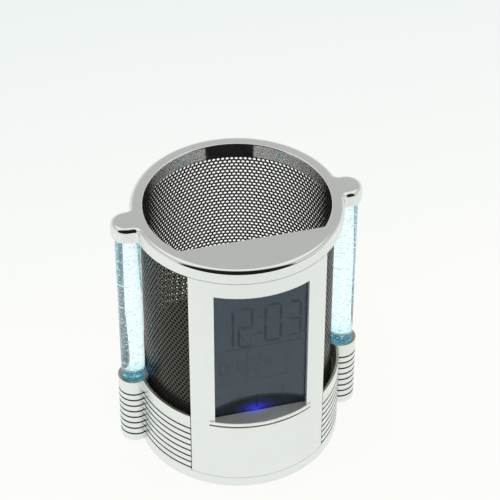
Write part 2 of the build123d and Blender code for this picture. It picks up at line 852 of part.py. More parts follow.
def light_wires():
    """A lead from each lamp's board, through the socket's wall to the control board."""
    wires = []
    for side in sides.values():
        x = side * (column_x - wire_pocket_radius / 2)
        turn = side * (column_x - socket_radius - wire_sweep)
        end = side * board_post_x / 2
        top = tab_top + wire_rise
        points = [(x, column_y, led_board_bottom), (x, column_y, wire_z), (turn, column_y, wire_z),
                  (end, board_rear / 2, top), (end, board_rear, top)]
        wires.append(lead(points, [wire_bend, wire_sweep, wire_sweep]))
    return wires


def battery_wires():
    """A short lead from each tabbed contact to the control board."""
    wires = []
    rise = contact_tab_rise + wire_bend
    for x in tab_places:
        y = box_half_length - contact_thickness / 2
        points = [(x, y, tab_top), (x, y, tab_top + rise), (x, board_rear, tab_top + rise)]
        wires.append(lead(points, [wire_bend]))
    return wires


def foot(x, y):
    """A rubber pad, stuck in a recess in the cover."""
    return upright(foot_radius, 0, foot_height + foot_recess, x, y)


nodes["top_plate"] = top_plate()
nodes["collar_ring"] = collar_ring()
nodes["front_panel"] = front_panel()
nodes["display_glass"] = display_glass()
nodes["lcd_panel"] = lcd_panel()
nodes["lcd_backlight"] = lcd_backlight()
nodes["backlight_led"] = backlight_led()
nodes["contact_strip"] = contact_strip()
nodes["lcd_holder"] = lcd_holder()
nodes["clock_board"] = clock_board()
nodes["clock_chip"] = clock_chip()
nodes["crystal"] = crystal()
nodes["clock_housing"] = clock_housing()
nodes["housing_screws"] = Compound(children=housing_screws())
nodes["display_cable"] = display_cable()
nodes["mesh_cup"] = mesh_cup()
nodes["cup_floor"] = cup_floor()
nodes["base_tray"] = base_tray()
nodes["base_cover"] = base_cover()
nodes["battery_door"] = battery_door()
for index in range(len(cell_x)):
    nodes[f"battery_cell_{index + 1}"] = battery_cell(index)
nodes["contact_plates"] = Compound(children=contact_plates())
nodes["contact_springs"] = Compound(children=contact_springs())
nodes["base_screws"] = Compound(children=base_screws())
nodes["buzzer"] = buzzer()
nodes["control_board"] = control_board()
nodes["board_screws"] = Compound(children=board_screws())
nodes["tact_switches"] = Compound(children=tact_switches())
nodes["slide_switch"] = slide_switch()
nodes["light_switch_knob"] = light_switch_knob()
for name, x in zip(button_names, button_places):
    nodes[f"button_{name}"] = push_button(x)
for name, side in sides.items():
    nodes[f"light_rod_{name}"] = light_rod(side)
    nodes[f"rod_seat_{name}"] = rod_seat(side)
    nodes[f"led_board_{name}"] = led_board(side)
    nodes[f"rod_led_{name}"] = rod_led(side)
nodes["light_wires"] = Compound(children=light_wires())
nodes["battery_wires"] = Compound(children=battery_wires())
for name, place in zip(("front_left", "front_right", "rear_left", "rear_right"), feet):
    nodes[f"foot_{name}"] = foot(*place)

os.makedirs("parts", exist_ok=True)
for name, shape in nodes.items():
    export_step(shape, f"parts/{name}.step")
print(len(nodes), "nodes")
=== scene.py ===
import random
from math import asin, cos, hypot, pi, radians, sin

import bmesh
import bpy
from mathutils import Matrix, Vector


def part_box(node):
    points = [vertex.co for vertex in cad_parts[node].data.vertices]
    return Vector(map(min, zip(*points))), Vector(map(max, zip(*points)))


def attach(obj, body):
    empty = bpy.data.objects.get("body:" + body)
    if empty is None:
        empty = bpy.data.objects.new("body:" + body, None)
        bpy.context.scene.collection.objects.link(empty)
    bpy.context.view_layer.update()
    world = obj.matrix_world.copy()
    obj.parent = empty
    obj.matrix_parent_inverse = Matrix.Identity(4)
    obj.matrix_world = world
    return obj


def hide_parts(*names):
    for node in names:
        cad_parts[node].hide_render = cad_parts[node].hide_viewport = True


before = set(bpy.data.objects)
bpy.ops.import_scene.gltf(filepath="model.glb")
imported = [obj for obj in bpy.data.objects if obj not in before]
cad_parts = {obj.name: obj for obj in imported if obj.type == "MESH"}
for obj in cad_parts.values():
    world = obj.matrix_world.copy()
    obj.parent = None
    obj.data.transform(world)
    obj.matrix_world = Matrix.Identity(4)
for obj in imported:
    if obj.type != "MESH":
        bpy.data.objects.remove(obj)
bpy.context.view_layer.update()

# The camera. It looks down at the clock from high on its left, through a long lens, as the
# photograph does, and shows colours as they are written.
eye = Vector((-0.16747, -0.65320, 0.67143))
azimuth = radians(-14.84)
elevation = radians(40.31)
roll = radians(0.10)
focal_length = 149.17
lens = bpy.data.cameras.new("camera")
lens.lens = focal_length
camera = bpy.data.objects.new("camera", lens)
bpy.context.scene.collection.objects.link(camera)
turned = Matrix.Rotation(azimuth, 4, "Z")
tipped = Matrix.Rotation(radians(90) - elevation, 4, "X")
camera.matrix_world = Matrix.Translation(eye) @ turned @ tipped @ Matrix.Rotation(roll, 4, "Z")
bpy.context.scene.camera = camera
bpy.context.scene.view_settings.view_transform = "Standard"


# The table and the room. The table is a white sheet that runs far out on all sides. The room is
# white, with a lamp overhead and one in front. Its side towards the camera and the table's near
# end are unlit, and only shiny surfaces show that.
def add_node(tree, kind, inputs=None, **settings):
    """Adds a shader node; an input takes a number, a colour or another node's output."""
    made = tree.nodes.new("ShaderNode" + kind)
    for name, value in settings.items():
        setattr(made, name, value)
    for name, value in (inputs or {}).items():
        if isinstance(value, bpy.types.NodeSocket):
            tree.links.new(value, made.inputs[name])
        else:
            made.inputs[name].default_value = value
    return made


def add_ramp(tree, factor, *stops):
    """Colours along a factor, from pairs of place and colour."""
    ramp = add_node(tree, "ValToRGB", {"Fac": factor})
    while len(ramp.color_ramp.elements) < len(stops):
        ramp.color_ramp.elements.new(1.0)
    for element, (place, colour) in zip(ramp.color_ramp.elements, stops):
        element.position = place
        element.color = (*colour, 1.0)
    return ramp.outputs["Color"]


def grey(level):
    """A neutral colour, a trace green as the daylight in the photograph is."""
    return (level * 0.99, level, level * 0.985)


def add_math(tree, operation, first, second):
    """The sum, product or other joining of two values."""
    made = add_node(tree, "Math", operation=operation)
    for place, value in enumerate((first, second)):
        if isinstance(value, bpy.types.NodeSocket):
            tree.links.new(value, made.inputs[place])
        else:
            made.inputs[place].default_value = value
    return made.outputs[0]


ambient_level = 0.55
unlit_grey = (0.012, 0.012, 0.012, 1.0)
unlit_way = (-0.256, -0.967)
unlit_half_width = 0.86
unlit_squeeze = 0.97

world = bpy.data.worlds.new("room")
world.use_nodes = True
bpy.context.scene.world = world
tree = world.node_tree
tree.nodes.clear()
direction = add_node(tree, "TexCoord").outputs["Generated"]
axes = add_node(tree, "SeparateXYZ", {"Vector": direction})
sky = add_ramp(tree, axes.outputs["Z"], (0.0, grey(1.0)), (0.35, grey(0.82)), (0.64, grey(0.565)),
               (0.71, grey(0.60)), (0.79, grey(1.0)))
facing = add_node(tree, "VectorMath", {"Vector": direction}, operation="DOT_PRODUCT")
facing.inputs[1].default_value = (*unlit_way, 0.0)
sideways = add_node(tree, "VectorMath", {"Vector": direction}, operation="DOT_PRODUCT")
sideways.inputs[1].default_value = (-unlit_way[1] / unlit_half_width, unlit_way[0] / unlit_half_width, 0.0)
upwards = add_math(tree, "MULTIPLY", axes.outputs["Z"], unlit_squeeze)
reach = add_math(tree, "ADD", add_math(tree, "POWER", sideways.outputs["Value"], 2.0),
                 add_math(tree, "POWER", upwards, 2.0))
front = add_node(tree, "MapRange", {"Value": facing.outputs["Value"], "From Min": 0.04, "From Max": 0.12})
within = add_node(tree, "MapRange", {"Value": reach, "From Min": 1.0, "From Max": 0.86})
unlit = add_math(tree, "MULTIPLY", front.outputs[0], within.outputs[0])
mirrored = add_node(tree, "MixRGB", {"Fac": unlit, "Color1": sky, "Color2": unlit_grey})
rays = add_node(tree, "LightPath")
seen = add_math(tree, "MAXIMUM", rays.outputs["Is Camera Ray"], rays.outputs["Is Transmission Ray"])
ambient = add_node(tree, "Background", {"Color": (*grey(1.0), 1.0), "Strength": ambient_level})
reflected = add_node(tree, "Background", {"Color": mirrored.outputs[0], "Strength": 1.0})
plain = add_node(tree, "Background", {"Color": (*grey(1.0), 1.0), "Strength": 1.0})
lit = add_node(tree, "MixShader", {"Fac": rays.outputs["Is Glossy Ray"]})
tree.links.new(ambient.outputs[0], lit.inputs[1])
tree.links.new(reflected.outputs[0], lit.inputs[2])
shown = add_node(tree, "MixShader", {"Fac": seen})
tree.links.new(lit.outputs[0], shown.inputs[1])
tree.links.new(plain.outputs[0], shown.inputs[2])
add_node(tree, "OutputWorld", {"Surface": shown.outputs[0]})

table_half = 4.0
paper_white = grey(0.93)
glow_share = 0.91
unlit_from = -0.32
unlit_to = -0.42
cooler_from = 0.06
cooler_to = 0.42
near_white = (0.995, 1.0, 0.968)
far_white = (0.845, 0.905, 0.90)

sheet = bmesh.new()
bmesh.ops.create_grid(sheet, x_segments=4, y_segments=4, size=table_half)
table_mesh = bpy.data.meshes.new("table")
sheet.to_mesh(table_mesh)
sheet.free()
table = bpy.data.objects.new("table", table_mesh)
bpy.context.scene.collection.objects.link(table)
white = bpy.data.materials.new("white_table")
white.use_nodes = True
tree = white.node_tree
tree.nodes.clear()
rays = add_node(tree, "LightPath")
seen = add_math(tree, "MAXIMUM", rays.outputs["Is Camera Ray"], rays.outputs["Is Transmission Ray"])
seen = add_math(tree, "MAXIMUM", seen, rays.outputs["Is Glossy Ray"])
share = add_math(tree, "MULTIPLY", seen, glow_share)
paper = add_node(tree, "BsdfDiffuse", {"Color": (*paper_white, 1.0)})
place = add_node(tree, "SeparateXYZ", {"Vector": add_node(tree, "TexCoord").outputs["Object"]})
beyond = add_node(tree, "MapRange", {"Value": place.outputs["Y"], "From Min": unlit_from,
                                     "From Max": unlit_to})
unlit = add_math(tree, "MULTIPLY", rays.outputs["Is Glossy Ray"], beyond.outputs[0])
share = add_math(tree, "MAXIMUM", share, unlit)
# Painted shade: the table is painted darker and cooler towards its far end.
backwards = add_node(tree, "MapRange", {"Value": place.outputs["Y"], "From Min": cooler_from,
                                        "From Max": cooler_to})
tone = add_ramp(tree, backwards.outputs[0], (0.0, near_white), (1.0, far_white))
toned = add_node(tree, "MixRGB", {"Fac": unlit, "Color1": tone, "Color2": unlit_grey})
glow = add_node(tree, "Emission", {"Color": toned.outputs[0], "Strength": 1.0})
mixed = add_node(tree, "MixShader", {"Fac": share})
tree.links.new(paper.outputs[0], mixed.inputs[1])
tree.links.new(glow.outputs[0], mixed.inputs[2])
add_node(tree, "OutputMaterial", {"Surface": mixed.outputs[0]})
white.cycles.emission_sampling = "NONE"
table_mesh.materials.append(white)

clock_middle = Vector((0.0, 0.0, 0.06))
for name, place, size, power in (
    ("lamp_overhead", Vector((-0.06, -0.10, 0.85)), 0.55, 2.2),
    ("lamp_front", Vector((-0.62, -0.95, 0.42)), 0.60, 2.4),
):
    light = bpy.data.lights.new(name, "AREA")
    light.shape = "SQUARE"
    light.size = size
    light.energy = power
    light.color = grey(1.0)
    lamp = bpy.data.objects.new(name, light)
    bpy.context.scene.collection.objects.link(lamp)
    lamp.visible_glossy = False
    aim = (clock_middle - place).to_track_quat("-Z", "Y")
    lamp.matrix_world = Matrix.Translation(place) @ aim.to_matrix().to_4x4()


# Base tray. One ABS moulding with its deck, ribs and two sockets, sprayed with fine silver paint. Its grooves
# and their ledges, its inside wall and deck, and the flat of its rim carry painted shade. The sockets' bores
# carry a painted teal glow with glints, for the lamps' light below them, that shows through the rods.
MM = 0.001
column_x = 47.6 * MM
column_y = -0.6 * MM
bore_radius = 5.45 * MM
bore_bottom = 17.9 * MM
bore_top = 39.0 * MM
groove_top = 32.45 * MM
groove_pitch = 3.45 * MM
groove_width = 0.9 * MM
groove_bottom = 7.3 * MM
tray_groove_floor = 44.3 * MM
tray_skin = 44.8 * MM
socket_groove_floor = 6.1 * MM
socket_skin = 6.6 * MM
ledge_bottom = 5.5 * MM
ledge_rise = 0.2 * MM
ledge_reach = 0.17 * MM
inner_wall_from = 42.2 * MM
inner_wall_to = 43.6 * MM
inner_wall_foot = 31.9 * MM
shade_darkest_at = 41.4 * MM
shade_palest_at = 42.4 * MM
deck_height = 32.0 * MM
rim_height = 39.2 * MM
close = 0.05 * MM


def eased(node, width=0.12, segments=2):
    """A joined-up copy of a CAD node's mesh, with its corners eased by a width in millimetres."""
    bm = bmesh.new()
    bm.from_mesh(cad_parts[node].data)
    bmesh.ops.remove_doubles(bm, verts=bm.verts[:], dist=0.002 * MM)
    bmesh.ops.dissolve_degenerate(bm, edges=bm.edges[:], dist=0.004 * MM)
    bmesh.ops.dissolve_limit(bm, angle_limit=radians(0.6), use_dissolve_boundaries=False,
                             verts=bm.verts[:], edges=bm.edges[:], delimit={"NORMAL"})
    corners = [edge for edge in bm.edges if edge.is_manifold and edge.calc_face_angle(0) > radians(28)]
    bmesh.ops.bevel(bm, geom=corners, offset=width * MM, offset_type="OFFSET", affect="EDGES",
                    segments=segments, profile=0.5, material=-1, clamp_overlap=True)
    return bm


def add_piece(name, bm, *materials):
    """The finished mesh as an object, shaded smooth but for its corners."""
    mesh = bpy.data.meshes.new(name)
    bm.to_mesh(mesh)
    bm.free()
    for material in materials:
        mesh.materials.append(material)
    mesh.shade_smooth()
    mesh.set_sharp_from_angle(angle=radians(38))
    piece = bpy.data.objects.new(name, mesh)
    bpy.context.scene.collection.objects.link(piece)
    shading = piece.modifiers.new("even_shading", "WEIGHTED_NORMAL")
    shading.keep_sharp = True
    return piece


def finish_of(material):
    """The shader that a material's finish is set on."""
    return material.node_tree.nodes["Principled BSDF"]


def grained(name, colour, roughness, grain, relief, metallic=0.0, spread=0.08, wear=0.05):
    """A finish with a fine grain; grain and relief are in millimetres. Its colour varies by the
    share spread, and its roughness by wear."""
    material = bpy.data.materials.new(name)
    material.use_nodes = True
    tree = material.node_tree
    surface = finish_of(material)
    surface.inputs["Metallic"].default_value = metallic
    place = add_node(tree, "TexCoord").outputs["Object"]
    fine = add_node(tree, "TexNoise", {"Vector": place, "Scale": 1 / (grain * MM), "Detail": 3.0})
    broad = add_node(tree, "TexNoise", {"Vector": place, "Scale": 70.0, "Detail": 4.0})
    mottle = add_math(tree, "MULTIPLY", fine.outputs["Fac"], broad.outputs["Fac"])
    darker = tuple(level * (1 - spread) for level in colour)
    paler = tuple(min(1.0, level * (1 + spread)) for level in colour)
    tone = add_ramp(tree, mottle, (0.12, darker), (0.38, paler))
    tree.links.new(tone, surface.inputs["Base Color"])
    worn = add_node(tree, "MapRange", {"Value": broad.outputs["Fac"], "From Min": 0.3, "From Max": 0.7,
                                       "To Min": roughness - wear, "To Max": roughness + wear})
    tree.links.new(worn.outputs[0], surface.inputs["Roughness"])
    bump = add_node(tree, "Bump", {"Height": fine.outputs["Fac"], "Distance": relief * MM, "Strength": 0.6})
    tree.links.new(bump.outputs[0], surface.inputs["Normal"])
    return material


silver_paint = grained("silver_paint", (0.835, 0.87, 0.85), 0.36, 0.16, 0.003, metallic=0.80, spread=0.03)
# Painted shade for the grooves: a near-black finish.
groove_shade = grained("groove_shade", (0.045, 0.047, 0.043), 0.7, 0.16, 0.004)
finish_of(groove_shade).inputs["Specular IOR Level"].default_value = 0.15
# Painted shade on the inside wall and deck: darkest next to the cup, paler outwards.
inner_wall_shade = grained("inner_wall_shade", (0.20, 0.20, 0.18), 0.7, 0.16, 0.004)
tree = inner_wall_shade.node_tree
place = add_node(tree, "TexCoord").outputs["Object"]
level = add_node(tree, "Mapping", {"Vector": place, "Scale": (1.0, 1.0, 0.0)})
outwards = add_node(tree, "VectorMath", {"Vector": level.outputs[0]}, operation="LENGTH")
rise = add_node(tree, "MapRange", {"Value": outwards.outputs["Value"], "From Min": shade_darkest_at,
                                   "From Max": shade_palest_at})
painted_inner_shade = add_ramp(tree, rise.outputs[0], (0.0, (0.010, 0.010, 0.008)), (0.3, (0.02, 0.02, 0.015)),
                     (1.0, (0.21, 0.21, 0.165)))
tree.links.new(painted_inner_shade, finish_of(inner_wall_shade).inputs["Base Color"])

# Painted light: the bores glow teal with glinting specks, painted as emission for the lamps' light below
# them.
bore_painted_glow = grained("bore_painted_glow", (0.005, 0.05, 0.06), 0.30, 0.5, 0.05)
tree = bore_painted_glow.node_tree
surface = finish_of(bore_painted_glow)
place = add_node(tree, "TexCoord").outputs["Object"]
narrowed = add_node(tree, "Mapping", {"Vector": place, "Scale": (2.2, 2.2, 1.0)})
specks = add_node(tree, "TexVoronoi", {"Vector": narrowed.outputs[0], "Scale": 420.0})
painted_glints = add_ramp(tree, specks.outputs["Distance"], (0.17, (0.50, 1.0, 1.0)), (0.26, (0.0, 0.46, 0.46)),
                   (0.40, (0.0, 0.12, 0.16)), (0.58, (0.0, 0.02, 0.05)))
tree.links.new(painted_glints, surface.inputs["Emission Color"])
surface.inputs["Emission Strength"].default_value = 0.85
bore_painted_glow.cycles.emission_sampling = "NONE"

# Painted shade: the flat of the rim is painted olive-dark for the dark that it reflects.
rim_painted_shade = grained("rim_painted_shade", (0.38, 0.355, 0.28), 0.36, 0.16, 0.003, metallic=0.80, spread=0.03)
tray = add_piece("painted_tray", eased("base_tray"), silver_paint, bore_painted_glow, groove_shade, inner_wall_shade,
                 rim_painted_shade)
for face in tray.data.polygons:
    spot = face.center
    from_rod = hypot(abs(spot.x) - column_x, spot.y - column_y)
    from_axis = hypot(spot.x, spot.y)
    below_rib = (groove_top - spot.z) % groove_pitch
    if from_rod < bore_radius + close and bore_bottom < spot.z < bore_top:
        face.material_index = 1
    in_tray = tray_groove_floor < from_axis < tray_skin
    in_socket = socket_groove_floor < from_rod < socket_skin
    in_groove = groove_bottom < spot.z < groove_top and 0 < below_rib < groove_width
    # Painted shade: the groove floors and walls, and the upward ledges at their lower edges, take the dark
    # groove finish.
    if (in_tray or in_socket) and in_groove and abs(face.normal.z) < 0.5:
        face.material_index = 2
    heights = [tray.data.vertices[index].co.z for index in face.vertices]
    ledge = max(heights) - min(heights) < ledge_rise and face.normal.z > 0.3
    lower_edge = abs(below_rib - groove_width) < ledge_reach
    if ledge and lower_edge and ledge_bottom < spot.z < groove_top:
        face.material_index = 2
    # Painted shade: the inside wall and the deck take the dark inner finish.
    inwards = face.normal.x * spot.x + face.normal.y * spot.y < -0.5 * from_axis
    if inwards and inner_wall_from < from_axis < inner_wall_to and spot.z > inner_wall_foot:
        face.material_index = 3
    if face.normal.z > 0.9 and abs(spot.z - deck_height) < close:
        face.material_index = 3
    # Painted shade on the flat of the rim.
    if face.normal.z > 0.9 and abs(spot.z - rim_height) < close:
        face.material_index = 4
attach(tray, "case")
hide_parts("base_tray")


# Rubber feet. Four round pads of soft black rubber, die-cut from sheet and stuck in the recesses
# of the underside cover.
foot_rubber = grained("foot_rubber", (0.045, 0.045, 0.047), 0.78, 0.35, 0.03)
for corner in ("front_left", "front_right", "rear_left", "rear_right"):
    pad = add_piece("rubber_pad_" + corner, eased("foot_" + corner, width=0.3, segments=3), foot_rubber)
    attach(pad, "case")
    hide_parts("foot_" + corner)


# Underside. A black ABS cover holds the battery box and the runners of the sliding door, and
# four self-tapping screws hold it up in the tray. Both mouldings have a spark-eroded matt face.
black_plastic = grained("black_plastic", (0.042, 0.042, 0.045), 0.52, 0.22, 0.02, spread=0.15)
cover = add_piece("underside_cover", eased("base_cover"), black_plastic)
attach(cover, "case")
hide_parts("base_cover")
door = add_piece("sliding_door", eased("battery_door"), black_plastic)
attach(door, "battery_door")
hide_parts("battery_door")


# Screws. Zinc-plated steel with pan heads and a cross drive: four hold the underside cover, four
# the clock housing and two the control board.
zinc_steel = grained("zinc_steel", (0.66, 0.66, 0.63), 0.30, 0.12, 0.004, metallic=1.0, spread=0.12)
for name, node in (
    ("cover_fixings", "base_screws"),
    ("housing_fixings", "housing_screws"),
    ("board_fixings", "board_screws"),
):
    fixings = add_piece(name, eased(node, width=0.1), zinc_steel)
    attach(fixings, "case")
    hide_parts(node)


# Batteries. Three slim cells side by side, steel cans in plain shrink sleeves with their ends left
# bare. They lie in the box in the underside cover, held by the springs.
bare_end = 4.6 * MM
cell_sleeve = grained("cell_sleeve", (0.24, 0.27, 0.31), 0.24, 0.9, 0.004, spread=0.05)
cell_end = grained("cell_end", (0.72, 0.72, 0.70), 0.26, 0.2, 0.002, metallic=1.0)
for index in (1, 2, 3):
    node = "battery_cell_" + str(index)
    middle = (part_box(node)[0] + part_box(node)[1]) / 2
    cell = add_piece("sleeved_cell_" + str(index), eased(node, width=0.35, segments=3), cell_sleeve, cell_end)
    for face in cell.data.polygons:
        reach = hypot(face.center.x - middle.x, face.center.z - middle.z)
        if reach < bare_end:
            face.material_index = 1
    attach(cell, "case")
    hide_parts(node)


# Battery contacts. Plated steel plates, pressed and slid in at the ends of the cells, and a cone
# of spring wire wound at the flat end of each cell.
plates = add_piece("pressed_contacts", eased("contact_plates", width=0.08), zinc_steel)
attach(plates, "case")
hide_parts("contact_plates")

cell_pitch = 11.2 * MM
cell_height = 8.45 * MM
spring_turns = 4.5
steps_per_turn = 16
spring_wire = 0.3 * MM
spring_foot = 3.3 * MM
spring_tip = 1.9 * MM
spring_length = 5.9 * MM
spring_rise = spring_length - 2 * spring_wire
low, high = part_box("contact_springs")
bm = bmesh.new()
for cell_x, way in ((-cell_pitch, 1), (0.0, -1), (cell_pitch, 1)):
    foot_y = low.y if way > 0 else high.y
    made = bmesh.ops.create_circle(bm, segments=8, radius=spring_wire)
    turned = Matrix.Translation((spring_foot, spring_wire, 0.0))
    bmesh.ops.transform(bm, matrix=turned, verts=made["verts"])
    steps = int(spring_turns * steps_per_turn)
    ring_edges = list({edge for vert in made["verts"] for edge in vert.link_edges})
    before = set(bm.verts) - set(made["verts"])
    coil = bmesh.ops.spin(bm, geom=made["verts"] + ring_edges, cent=(0, 0, 0), axis=(0, 1, 0),
                          dvec=(0, spring_rise / steps, 0), angle=2 * pi * spring_turns, steps=steps)
    bmesh.ops.contextual_create(bm, geom=ring_edges)
    last = [item for item in coil["geom_last"] if isinstance(item, bmesh.types.BMEdge)]
    bmesh.ops.contextual_create(bm, geom=last)
    for vert in set(bm.verts) - before:
        along = vert.co.y / spring_length
        taper = 1 - along * (1 - spring_tip / spring_foot)
        x = cell_x + vert.co.x * taper
        z = cell_height + vert.co.z * taper
        vert.co = Vector((x, foot_y + way * vert.co.y, z))
bmesh.ops.recalc_face_normals(bm, faces=bm.faces[:])
springs = add_piece("coiled_springs", bm, zinc_steel)
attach(springs, "case")
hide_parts("contact_springs")


# Buzzer and control board. The buzzer is a black can over the sound holes. The board is green
# fibreglass with the push switches and the slide switch soldered on, and two screws hold it
# behind the rear controls.
circuit_board = grained("circuit_board", (0.045, 0.21, 0.10), 0.38, 0.4, 0.004)
tree = circuit_board.node_tree
place = add_node(tree, "TexCoord").outputs["Object"]
lanes = add_node(tree, "Mapping", {"Vector": place, "Rotation": (radians(90), 0.0, 0.0)})
tracks = add_node(tree, "TexBrick", {"Vector": lanes.outputs[0], "Color1": (0.03, 0.17, 0.08, 1.0),
                                     "Color2": (0.045, 0.22, 0.10, 1.0), "Mortar": (0.16, 0.42, 0.20, 1.0),
                                     "Scale": 160.0, "Mortar Size": 0.035, "Brick Width": 0.9,
                                     "Row Height": 0.28})
tree.links.new(tracks.outputs["Color"], finish_of(circuit_board).inputs["Base Color"])
switch_black = grained("switch_black", (0.05, 0.05, 0.052), 0.40, 0.3, 0.006)
for name, node, finish, slot in (
    ("alarm_buzzer", "buzzer", switch_black, "black_plastic"),
    ("rear_board", "control_board", circuit_board, "circuit_board"),
    ("push_switches", "tact_switches", switch_black, "black_plastic"),
    ("slide_switch_body", "slide_switch", zinc_steel, "zinc_steel"),
):
    piece = add_piece(name, eased(node), finish)
    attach(piece, "case")
    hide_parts(node)


# Rear controls. Four round buttons and the knob of the light switch, moulded in satin black ABS.
# They stand through the back of the tray and rest on the switches of the board behind it.
satin_black = grained("satin_black", (0.035, 0.035, 0.038), 0.34, 0.25, 0.006)
for setting in ("mode", "set", "up", "down"):
    button = add_piece("cap_" + setting, eased("button_" + setting, width=0.15), satin_black)
    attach(button, "button_" + setting)
    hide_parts("button_" + setting)
knob = add_piece("switch_knob", eased("light_switch_knob", width=0.15), satin_black)
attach(knob, "light_switch_knob")
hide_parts("light_switch_knob")


# Leads. Thin stranded copper wire in soft red sleeving, soldered from the lamps and the battery
# box to the control board.
wire_sleeve = grained("wire_sleeve", (0.48, 0.05, 0.045), 0.42, 0.5, 0.004)
for name, node in (("lamp_leads", "light_wires"), ("battery_leads", "battery_wires")):
    leads = add_piece(name, eased(node, width=0.05), wire_sleeve)
    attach(leads, "case")
    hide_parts(node)


# Lamps under the rods. On each side a small round board carries a domed resin lamp, blue-white,
# inside a sleeve of white plastic that the rod stands on.
lamp_resin = grained("lamp_resin", (0.72, 0.90, 1.0), 0.12, 0.8, 0.002)
surface = finish_of(lamp_resin)
surface.inputs["Emission Color"].default_value = (0.45, 0.85, 1.0, 1.0)
surface.inputs["Emission Strength"].default_value = 2.0
white_plastic = grained("white_plastic", (0.84, 0.85, 0.83), 0.45, 0.3, 0.006)
for side in ("left", "right"):
    for name, node, finish, slot in (
        ("lamp_board_", "led_board_", circuit_board, "circuit_board"),
        ("lamp_dome_", "rod_led_", lamp_resin, "lamp"),
        ("rod_sleeve_", "rod_seat_", white_plastic, "white_plastic"),
    ):
        piece = add_piece(name + side, eased(node + side), finish)
        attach(piece, "case")
        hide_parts(node + side)


# Light rods. Each is cast clear acrylic with small air bubbles all through it, cut to length and polished
# round, and stands in its socket; the lamp's teal light in its foot and a faint glow through it are painted
# on. The bubbles are hollows in the rod, so their walls face into them.
rod_edge = 0.3 * MM
bubble_smallest = 0.09
bubble_spread = 0.26
clear_skin = 0.35 * MM
clear_end = 0.8 * MM
teal_below = 42.5 * MM
clear_above = 45.0 * MM
clear_rod = bpy.data.materials.new("clear_rod")
clear_rod.use_nodes = True
tree = clear_rod.node_tree
surface = finish_of(clear_rod)
surface.inputs["Transmission Weight"].default_value = 1.0
surface.inputs["IOR"].default_value = 1.49
surface.inputs["Roughness"].default_value = 0.004
# Painted light: a faint cyan glow all through the rod, painted as emission, and the lamp's teal light painted
# into the colour of its foot.
surface.inputs["Emission Color"].default_value = (0.45, 0.85, 1.0, 1.0)
surface.inputs["Emission Strength"].default_value = 0.07
place = add_node(tree, "TexCoord").outputs["Object"]
along = add_node(tree, "SeparateXYZ", {"Vector": place}).outputs["Z"]
foot = add_node(tree, "MapRange", {"Value": along, "From Min": clear_above, "From Max": teal_below})
painted_teal = add_ramp(tree, foot.outputs[0], (0.0, (0.905, 0.985, 1.0)), (1.0, (0.50, 0.88, 0.97)))
tree.links.new(painted_teal, surface.inputs["Base Color"])
ripple = add_node(tree, "TexNoise", {"Vector": place, "Scale": 160.0, "Detail": 2.0})
bump = add_node(tree, "Bump", {"Height": ripple.outputs["Fac"], "Distance": 0.03 * MM, "Strength": 0.5})
tree.links.new(bump.outputs[0], surface.inputs["Normal"])
clear_rod.cycles.emission_sampling = "NONE"
bubble_count = 1400
for side, name in ((-1, "left"), (1, "right")):
    low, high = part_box("light_rod_" + name)
    middle = (low + high) / 2
    radius = (high.x - low.x) / 2
    bm = bmesh.new()
    bmesh.ops.create_cone(bm, cap_ends=True, segments=96, radius1=radius, radius2=radius,
                          depth=high.z - low.z, matrix=Matrix.Translation(middle))
    rims = [edge for edge in bm.edges if edge.calc_face_angle(0) > radians(60)]
    bmesh.ops.bevel(bm, geom=rims, offset=rod_edge, affect="EDGES", segments=3, profile=0.5, material=-1)
    draw = random.Random(11 + side)
    hollows = bmesh.new()
    kept = []
    while len(kept) < bubble_count:
        size = (bubble_smallest + bubble_spread * draw.random() ** 2.2) * MM
        reach = (radius - clear_skin - size) * draw.random() ** 0.5
        turn = draw.uniform(0, 2 * pi)
        height = draw.uniform(low.z + clear_end, high.z - clear_end)
        spot = Vector((middle.x + reach * cos(turn), middle.y + reach * sin(turn), height))
        if any((spot - other).length < size + width for other, width in kept):
            continue
        kept.append((spot, size))
        bmesh.ops.create_icosphere(hollows, subdivisions=1, radius=size, matrix=Matrix.Translation(spot))
    bmesh.ops.reverse_faces(hollows, faces=hollows.faces[:])
    spare = bpy.data.meshes.new("bubbles_" + name)
    hollows.to_mesh(spare)
    hollows.free()
    bm.from_mesh(spare)
    bpy.data.meshes.remove(spare)
    rod = add_piece("bubbled_rod_" + name, bm, clear_rod)
    rod.data.set_sharp_from_angle(angle=radians(75))
    rod.modifiers.clear()
    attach(rod, "case")
    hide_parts("light_rod_" + name)


# Cup floor. A pad of black foamed plastic, die-cut with the cup's flat front and laid on the
# deck of the tray.
pad_black = grained("pad_black", (0.022, 0.022, 0.022), 0.7, 0.5, 0.05, spread=0.2)
pad = add_piece("floor_pad", eased("cup_floor", width=0.25), pad_black)
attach(pad, "case")
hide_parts("cup_floor")


# Perforated cup. Half-millimetre steel sheet with round holes in staggered rows, blackened, then
# rolled round and open in front. It is drawn flat, punched, and rolled up last, in two halves.
gunmetal = grained("gunmetal_sheet", (0.026, 0.026, 0.020), 0.30, 0.15, 0.003, metallic=0.0, spread=0.2)
finish_of(gunmetal).inputs["Specular Tint"].default_value = (1.0, 0.98, 0.84, 1.0)
gunmetal.cycles.emission_sampling = "NONE"
cut_edge = grained("cut_edge", (0.01, 0.01, 0.008), 0.5, 0.15, 0.003, metallic=0.0, spread=0.2)
finish_of(cut_edge).inputs["Specular IOR Level"].default_value = 0.2
tree = gunmetal.node_tree
surface = finish_of(gunmetal)
place = add_node(tree, "TexCoord").outputs["Object"]
